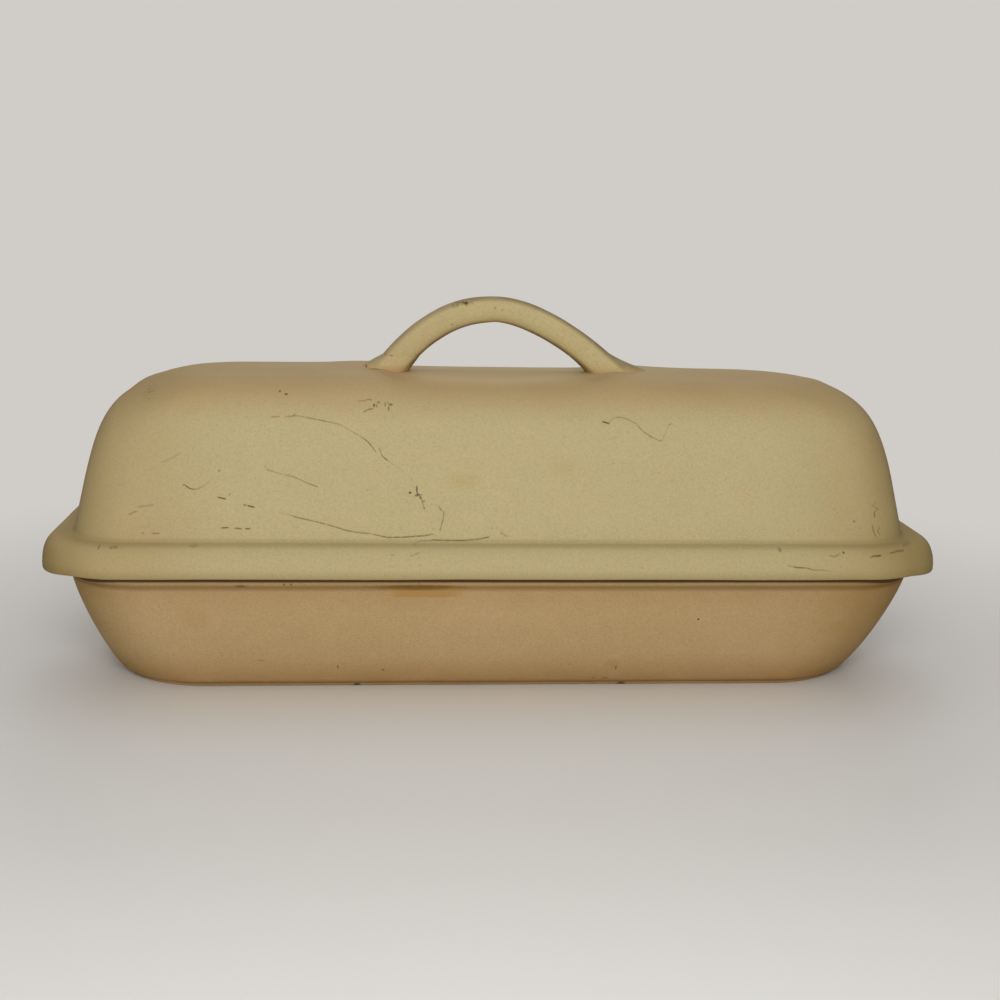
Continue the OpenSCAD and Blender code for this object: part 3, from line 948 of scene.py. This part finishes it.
def cover_inner_wall(t):
    rise = t.blend(SHOULDER_START, 0)
    return *wall_of_dome(rise, size["Wall"]), rise.blend(dome_foot, inner_crown)


def cover_lip_inside(t):
    return *wall_of_dome(nothing, size["Wall"]), t.blend(dome_foot, lip_bottom)


def cover_lip_bottom(t):
    return *between_loops(t, wall_of_dome(nothing, size["Wall"]), lip_at()), lip_bottom


def cover_lip_outside(t):
    return *lip_at(), t.blend(lip_bottom, size["Seat"])


def cover_underside(t):
    edge = brim_at(size["Brim Width"] - size["Brim Edge"])
    return *between_loops(t, lip_at(), edge), size["Seat"]


def cover_brim_edge(t):
    sine, cosine = quarter(t)
    inset = size["Brim Edge"] * (1 - sine)
    return *brim_at(size["Brim Width"] - inset), size["Seat"] + size["Brim Edge"] * (1 - cosine)


crease_turn = ((size["Crease"] / size["Brim Width"]) ** (BRIM_POWER / 2)).bend("ARCSINE")


def brim_curve(angle):
    """The brim's rounded top by an angle: its loop and its height."""
    out = size["Brim Width"] * angle.bend("SINE") ** (2 / BRIM_POWER)
    fall = 1 - angle.bend("COSINE").at_least(0) ** (2 / BRIM_POWER)
    return brim_at(out), dome_foot - (size["Brim Height"] - size["Brim Edge"]) * fall


def cover_brim(t):
    loop, height = brim_curve(t.blend(math.pi / 2, crease_turn))
    return *loop, height


def cover_crease(t):
    low, low_height = brim_curve(crease_turn)
    rise = size["Crease"] / (crown - dome_foot)
    high = wall_of_dome(rise, nothing)
    middle = dome_at(nothing, nothing, nothing)
    return bent(t, (*low, low_height), (*middle, dome_foot), (*high, dome_foot + size["Crease"]))


def cover_wall(t):
    rise = t.blend(size["Crease"] / (crown - dome_foot), SHOULDER_START)
    return *wall_of_dome(rise, nothing), rise.blend(dome_foot, crown)


def cover_shoulder(t):
    loop, rise = shoulder(t, nothing)
    return *loop, rise.blend(dome_foot, crown)


def cover_crown(t):
    left = 1 - (1 - t) ** 2
    return *shrunk(dome_at(one, one, nothing), 1 - t), crown + left * left * size["Camber"]


for rows, profile in (
    (6, cover_inner_crown), (26, cover_inner_shoulder), (13, cover_inner_wall),
    (6, cover_lip_inside), (2, cover_lip_bottom), (2, cover_lip_outside), (6, cover_underside),
    (3, cover_brim_edge), (20, cover_brim), (6, cover_crease), (20, cover_wall),
    (44, cover_shoulder), (14, cover_crown),
):
    cover.course(rows, profile)

# The reach and the most lift of the lines drawn below, then where each hand-made form of the
# cover eases in or out: along x for ends and tips, by height for the others.
LINE_REACH = 200 * mm
MOST_LIFT = 2 * mm
CROWN_LIFTS = (116 * mm, 131 * mm)
SHOULDER_LIFTS = (80 * mm, 100 * mm)
DROOP_ENDS = (171 * mm, 187 * mm)
DROOP_STOPS = (58 * mm, 67 * mm)
BULGE_ENDS = (120 * mm, 160 * mm)
BULGE_STARTS = (64 * mm, 72 * mm)
BULGE_STOPS = (88 * mm, 112 * mm)
SWELL_ENDS = (174 * mm, 181 * mm)
SWELL_TIPS = (186 * mm, 190.5 * mm)
SWELL_STARTS = (54.5 * mm, 57.5 * mm)
SWELL_STOPS = (66.5 * mm, 70 * mm)
CROWN_LINE = (
    (-200, 0.4), (-100, 0.35), (-80, 0.5), (-68, 1.0), (-57, 1.3), (-50, 1.0), (-45, 0.2),
    (-40, -0.7), (0, -0.8), (38, -0.5), (46, 0.1), (54, 0.9), (62, 1.1), (68, 0.8), (76, 0.35),
    (88, -0.1), (105, -0.35), (200, -0.5),
)
SHOULDER_LINE = (
    (-200, 0), (-172, 0), (-166, -0.3), (-160, -0.7), (-155, -1.15), (-149, -1.1), (-144, -0.8),
    (-139, -0.5), (-133, -0.1), (-128, 0), (0, 0), (132, 0), (142, 0.05), (150, 0.4), (164, 0.65),
    (172, 1.0), (200, 1.0),
)


def cover_shift(x, z):
    """The crown stands up outside the handle's roots and sags between them; the ends swell."""
    crown_lift = cover.line(x, CROWN_LINE, LINE_REACH, MOST_LIFT) * z.eased(*CROWN_LIFTS)
    out = abs(x)
    droop = out.eased(*DROOP_ENDS) * (1 - z.eased(*DROOP_STOPS)) * size["End Droop"]
    shoulder_lift = cover.line(x, SHOULDER_LINE, LINE_REACH, MOST_LIFT)
    shoulder_lift = shoulder_lift * z.eased(*SHOULDER_LIFTS)
    right_share = x.bend("GREATER_THAN", 0)
    bulge = right_share.blend(size["Left Bulge"], size["Right Bulge"])
    bulge = bulge * out.eased(*BULGE_ENDS) * z.eased(*BULGE_STARTS)
    bulge = bulge * (1 - z.eased(*BULGE_STOPS))
    swell = right_share.blend(size["Left Brim Swell"], size["Right Brim Swell"])
    swell = swell * out.eased(*SWELL_ENDS) * (1 - out.eased(*SWELL_TIPS))
    swell = swell * z.eased(*SWELL_STARTS) * (1 - z.eased(*SWELL_STOPS))
    return (bulge + swell) * x.bend("SIGN"), crown_lift + shoulder_lift - droop


cover.close(
    cover_clay.material, size["Waver"], span=50 * mm, seed=size["Seed"], shift=cover_shift
)
domed_cover = cover.fire()
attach(domed_cover, "cover")
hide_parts("lid_shell")



# The strap handle: a hand-pulled strap of the cover's clay, bent into an arch and fixed on
# the crown while soft. Its left leg stands steeper than its right. The top of the arch is
# darker with handling dirt and painted shade, and its underside is darker with painted shade.

strap = Form(
    "strap_handle",
    {
        "Crown": 0.1315,
        "Rise": 0.02745,
        "Left Reach": 0.0477,
        "Right Reach": 0.0514,
        "Arch Place": 0.0011,
        "Thickness": 0.0123,
        "Depth": 0.0138,
        "Slip Height": 0.006,
        "Rooted": 1.025,
        "Waver": 0.0003,
        "Seed": 5.0,
    },
)
LEFT_POWER = 2.28
RIGHT_POWER = 1.74
STRAP_POWER = 2.6
HAND_DIRT_AND_SHADE = seen(134, 114, 80)
STRAP_UNDERSIDE_SHADE = seen(120, 98, 56)
RUST = seen(150, 96, 60)


def strap_colours(name):
    """Strap clay and its smears: handling dirt and painted shade on top, painted shade underneath.
    """
    clay = Clay(name, seen(203, 185, 134))
    dry = raw_clay(clay, *COVER_GRAIN, 7.0)
    clay.tint(baked_patches(clay) * 0.2, COVER_BROWN)
    along = clay.x - strap.sizes["Arch Place"]
    right_leg = along.bend("GREATER_THAN", 0)
    reach = right_leg.blend(strap.sizes["Left Reach"], strap.sizes["Right Reach"])
    share = abs(along) / reach
    power = right_leg.blend(LEFT_POWER, RIGHT_POWER)
    slope = share ** (power - 1) * power * strap.sizes["Rise"] / reach
    middle_line = (1 - share**power) * strap.sizes["Rise"] + strap.sizes["Crown"]
    off_middle = (clay.z - middle_line) * (slope * slope + 1) ** -0.5
    patch_strength = clay.cloud(7 * mm, 83, detail=3).between(0.25, 0.7).blend(0.55, 0.9)
    # Handling dirt and painted shade on the top of the arch.
    top_dirt_and_shade = off_middle.eased(3.7 * mm, 5.9 * mm) * along.eased(-32 * mm, -8 * mm).blend(0.5, 1)
    clay.tint(top_dirt_and_shade * clay.z.eased(132 * mm, 136 * mm).blend(0.5, 1) * patch_strength, HAND_DIRT_AND_SHADE)
    # Painted shade along the strap's underside.
    clay.tint((off_middle * -1).eased(3.9 * mm, 5.7 * mm) * patch_strength * 0.95, STRAP_UNDERSIDE_SHADE)
    return clay, dry


strap_clay, strap_dry = strap_colours("strap_clay_finish")
strap_front = 1 - strap_clay.y.eased(-1 * mm, 3 * mm)
smudge = strap_clay.cloud(1.3 * mm, 85, detail=3).between(0.4, 0.62)
strap_clay.marks(METAL_AND_SHADOW, 0.6, smudge * strap_front, [
    (-13.6, 161.9, 5.6, 1.5, 0.6), (-12.8, 162.2, 1.4, 0.9, 0.9), (-17.6, 160.6, 2.2, 0.8, 0.6),
    (-18.6, 152.9, 0.5, 0.5, 0.9), (66.0, 134.4, 3.0, 1.0, 0.4),
])
rust_spots = [(0.6, 160.2, 1.4, 1.0, 0.5), (3.4, 159.4, 0.8, 0.6, 0.5)]
strap_clay.marks(RUST, 0.6, smudge * strap_front, rust_spots)
strap_clay.finish(strap_dry)

TURN_SHARE = 0.5
ROOT_SWELL = 0.03
TOP_THIN = 0.055
STRAP_STEPS = 56
ARCH_ROWS = 150
END_ROWS = 3
STRAP_WAVER = 22 * mm


def strap_place(form, around, leg, fullness, wide=0):
    """A point on the strap: leg runs from -1 at the left root to 1 at the right one."""
    size = form.size
    side = leg.bend("SIGN")
    right = (side + 1) * 0.5
    share = abs(leg)
    power = right.blend(LEFT_POWER, RIGHT_POWER)
    reach = right.blend(size["Left Reach"], size["Right Reach"])
    slope = side * size["Rise"] * power * share ** (power - 1) / reach * -1
    run = (slope * slope + 1) ** -0.5
    root = (1 - size["Slip Height"] / size["Rise"]) ** (power**-1)
    turned = ((share - TURN_SHARE) / (root - TURN_SHARE)).at_most(1).at_least(0)
    level = turned * turned * (3 - 2 * turned)
    thin = (1 - share).at_least(0) ** 3 * TOP_THIN
    full = (level * ROOT_SWELL + 1 - thin) * fullness
    across_x = (slope * run + run * level / slope) * -1
    across_z = run * (1 - level)
    angle = around * (2 * math.pi)
    cosine = angle.bend("COSINE")
    sine = angle.bend("SINE")
    out = cosine.bend("SIGN") * abs(cosine) ** (2 / STRAP_POWER) * size["Thickness"] * 0.5
    deep = sine.bend("SIGN") * abs(sine) ** (2 / STRAP_POWER) * size["Depth"] * 0.5
    x = size["Arch Place"] + leg * reach + across_x * out * full + side * cosine * wide
    y = deep * fullness + sine * wide
    middle = size["Crown"] + size["Rise"] * (1 - share**power) + size["Thickness"] * 0.5 * thin
    z = middle + across_z * out * full
    return add_node(form.tree, "ShaderNodeCombineXYZ", {"X": x, "Y": y, "Z": z}).outputs[0]


def strap_right_end(around, t):
    return strap_place(strap, around, strap.size["Rooted"], t)


def strap_arch(around, t):
    return strap_place(strap, around, t.blend(1, -1) * strap.size["Rooted"], 1)


def strap_left_end(around, t):
    return strap_place(strap, around, strap.size["Rooted"] * -1, 1 - t)


strap.sheet(STRAP_STEPS, END_ROWS, strap_right_end)
strap.sheet(STRAP_STEPS, ARCH_ROWS, strap_arch)
strap.sheet(STRAP_STEPS, END_ROWS, strap_left_end)
strap.close(
    strap_clay.material, strap.size["Waver"], span=STRAP_WAVER, seed=strap.size["Seed"]
)
strap_handle = strap.fire()
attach(strap_handle, "cover")
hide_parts("lid_handle")



# The slips: soft clay pressed round the two roots of the strap and smeared out over the
# crown by thumb. The left one is small and ends in a nick, the right one is drawn out wide.

slip_clay, slip_dry = strap_colours("slip_clay_finish")
slip_bake = baked_patches(slip_clay).blend(0.6, 0.9)
slip_clay.tint((1 - slip_clay.z.eased(131.8 * mm, 135.5 * mm)) * slip_bake, COVER_BROWN)
nick = slip_clay.spot(-56.2, 132.6, 0.5, 2.0).between(0, 0.3)
slip_clay.tint(nick * 0.85, GRIME_AND_SHADOW)
slip_clay.finish(slip_dry)

# How full a slip is against the strap: where it ends on it, and where it shuts in the crown.
TUCKED = 0.975
TUCK_FROM = 0.75
SHUT = 0.86


def smear(name, side, spread, side_spread, top, blunt, hollow):
    """One root's slip: a flare round the strap, closed under itself inside the crown."""
    slip = Form(
        name,
        {
            **strap.sizes,
            "Spread": spread,
            "Side Spread": side_spread,
            "Inner Spread": 0.0012,
            "Sunk": -0.0006,
            "Top": top,
        },
    )
    size = slip.size

    def leg_at(height):
        """The place along the strap's leg at a height over the crown."""
        power = LEFT_POWER if side < 0 else RIGHT_POWER
        return (1 - height / size["Rise"]) ** (1 / power) * side

    def spread_at(around, share):
        """How far the clay is smeared out, most on the outer side and nothing at its top."""
        cosine = (around * (2 * math.pi)).bend("COSINE")
        outer = cosine.at_least(0)
        inner = (cosine * -1).at_least(0)
        wide = size["Side Spread"] + (size["Spread"] - size["Side Spread"]) * outer * outer
        wide = wide + (size["Inner Spread"] - size["Side Spread"]) * inner * inner
        return wide * (1 - share.between(blunt, 1)) ** hollow

    def flare(around, t):
        share = 1 - t if side < 0 else t
        height = share.blend(size["Sunk"], size["Top"])
        fullness = share.between(TUCK_FROM, 1).blend(1, TUCKED)
        return strap_place(slip, around, leg_at(height), fullness, spread_at(around, share))

    def under(around, t):
        share = t if side < 0 else 1 - t
        wide = spread_at(around, t * 0) * (1 - share)
        return strap_place(slip, around, leg_at(size["Sunk"]), share.blend(1, SHUT), wide)

    def inside(around, t):
        share = t if side < 0 else 1 - t
        height = share.blend(size["Sunk"], size["Top"])
        return strap_place(slip, around, leg_at(height), share.blend(SHUT, TUCKED))

    for rows, place in ((18, flare), (4, under), (6, inside)):
        slip.sheet(STRAP_STEPS, rows, place)
    slip.close(slip_clay.material, size["Waver"], span=STRAP_WAVER, seed=size["Seed"])
    return slip.fire()


left_smear = smear(
    "left_smear", side=-1, spread=0.007, side_spread=0.0008, top=0.0076, blunt=0.12, hollow=1.0
)
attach(left_smear, "cover")
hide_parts("handle_slip_left")
right_smear = smear(
    "right_smear", side=1, spread=0.0135, side_spread=0.0008, top=0.0092, blunt=0.0, hollow=1.6
)
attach(right_smear, "cover")
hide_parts("handle_slip_right")



# The floor, the light and the camera: a plain pale table that fades into a pale room, a soft
# lamp near the camera, a wide one overhead, a weak one behind and an even room light.

PALE = seen(226, 223, 218)
BACKDROP = seen(208, 205, 200)
FADE_FORWARD = 0.08
FADE_START = 0.2
FADE_END = 0.5
ROOM_LIGHT = 0.18
TOP_LIGHT = 0.22
KEY_LIGHT = 0.485
BACK_LIGHT = 0.28
BAKER_MIDDLE = Vector((0, 0, 0.08))
TABLE_EDGE = 3
floor_mesh = bpy.data.meshes.new("table")
corners = [(x * TABLE_EDGE, y * TABLE_EDGE, 0) for x, y in ((-1, -1), (1, -1), (1, 1), (-1, 1))]
floor_mesh.from_pydata(corners, [], [(0, 1, 2, 3)])
table = bpy.data.objects.new("table", floor_mesh)
bpy.context.scene.collection.objects.link(table)

world = bpy.data.worlds.new("room")
bpy.context.scene.world = world
world.use_nodes = True
room = world.node_tree
light_path = add_node(room, "ShaderNodeLightPath").outputs
rays = {0: light_path["Is Camera Ray"], 1: light_path["Is Transmission Ray"]}
seen_by = add_node(room, "ShaderNodeMath", rays, operation="MAXIMUM")
plain = room.nodes["Background"]
plain.inputs["Color"].default_value = (1, 1, 1, 1)
plain.inputs["Strength"].default_value = ROOM_LIGHT
backdrop = add_node(room, "ShaderNodeBackground", {"Color": BACKDROP})
choose = {"Fac": seen_by.outputs[0], 1: plain.outputs[0], 2: backdrop.outputs[0]}
choose = add_node(room, "ShaderNodeMixShader", choose)
room.links.new(choose.outputs[0], room.nodes["World Output"].inputs["Surface"])

table_finish = bpy.data.materials.new("table_finish")
table_finish.use_nodes = True
table_tree = table_finish.node_tree
table_skin = table_tree.nodes["Principled BSDF"]
table_skin.inputs["Base Color"].default_value = PALE
table_skin.inputs["Roughness"].default_value = 0.8
on_table = add_node(table_tree, "ShaderNodeTexCoord").outputs["Object"]
behind = add_node(table_tree, "ShaderNodeVectorMath", {0: on_table, 1: (0, FADE_FORWARD, 0)})
away = add_node(table_tree, "ShaderNodeVectorMath", {0: behind.outputs[0]}, operation="LENGTH")
fade = Measure(table_tree, away.outputs["Value"]).eased(FADE_START, FADE_END)
table_side = add_node(table_tree, "ShaderNodeNewGeometry").outputs
from_below = Measure(table_tree, table_side["Backfacing"])
clear = add_node(table_tree, "ShaderNodeBsdfTransparent")
layers = {"Fac": fade.at_least(from_below), 1: table_skin.outputs[0], 2: clear.outputs[0]}
cover_up = add_node(table_tree, "ShaderNodeMixShader", layers)
table_tree.links.new(cover_up.outputs[0], table_tree.nodes["Material Output"].inputs["Surface"])
floor_mesh.materials.append(table_finish)


def soft_lamp(name, away, width, side, high, level):
    """A soft lamp at two angles from the front; level is what a face that looks at it gets."""
    data = bpy.data.lights.new(name, "AREA")
    data.shape = "DISK"
    data.size = width
    data.energy = level * math.pi**2 * (away**2 + (width / 2) ** 2)
    side, high = math.radians(side), math.radians(high)
    flat = math.cos(high)
    toward = Vector((math.sin(side) * flat, -math.cos(side) * flat, math.sin(high)))
    lamp = bpy.data.objects.new(name, data)
    lamp.location = BAKER_MIDDLE + toward * away
    lamp.rotation_mode = "QUATERNION"
    lamp.rotation_quaternion = toward.to_track_quat("Z", "Y")
    lamp.visible_camera = False
    bpy.context.scene.collection.objects.link(lamp)


soft_lamp("key_lamp", away=0.75, width=0.4, side=-3.5, high=20, level=KEY_LIGHT)
soft_lamp("top_lamp", away=3.2, width=7.0, side=0, high=80, level=TOP_LIGHT)
soft_lamp("back_lamp", away=2.6, width=1.8, side=176, high=22, level=BACK_LIGHT)

# The camera looks at the baker from the front and a little above. Its place and its aim are
# turned round the baker by the yaw, and its focal length is in widths of the picture.
CAMERA_PLACE = (4.606 * mm, -625.17 * mm, 211.46 * mm)
CAMERA_YAW = 0.07504
CAMERA_PITCH = 0.21874
CAMERA_ROLL = 0.02086
FOCAL = 1400 / 1000
turn_back = Matrix.Rotation(-CAMERA_YAW, 3, "Z")
forward = Vector((0, math.cos(CAMERA_PITCH), -math.sin(CAMERA_PITCH)))
upward = Vector((0, math.sin(CAMERA_PITCH), math.cos(CAMERA_PITCH)))
sideways = Vector((1, 0, 0))
right = sideways * math.cos(CAMERA_ROLL) + upward * math.sin(CAMERA_ROLL)
up = upward * math.cos(CAMERA_ROLL) - sideways * math.sin(CAMERA_ROLL)
camera_data = bpy.data.cameras.new("camera")
camera_data.sensor_width = 36
camera_data.lens = FOCAL * camera_data.sensor_width
camera_data.clip_start = 0.01
camera = bpy.data.objects.new("camera", camera_data)
bpy.context.scene.collection.objects.link(camera)
turned = turn_back @ Matrix((right, up, -forward)).transposed()
camera.matrix_world = Matrix.Translation(turn_back @ Vector(CAMERA_PLACE)) @ turned.to_4x4()
bpy.context.scene.camera = camera
bpy.context.scene.view_settings.view_transform = "Standard"
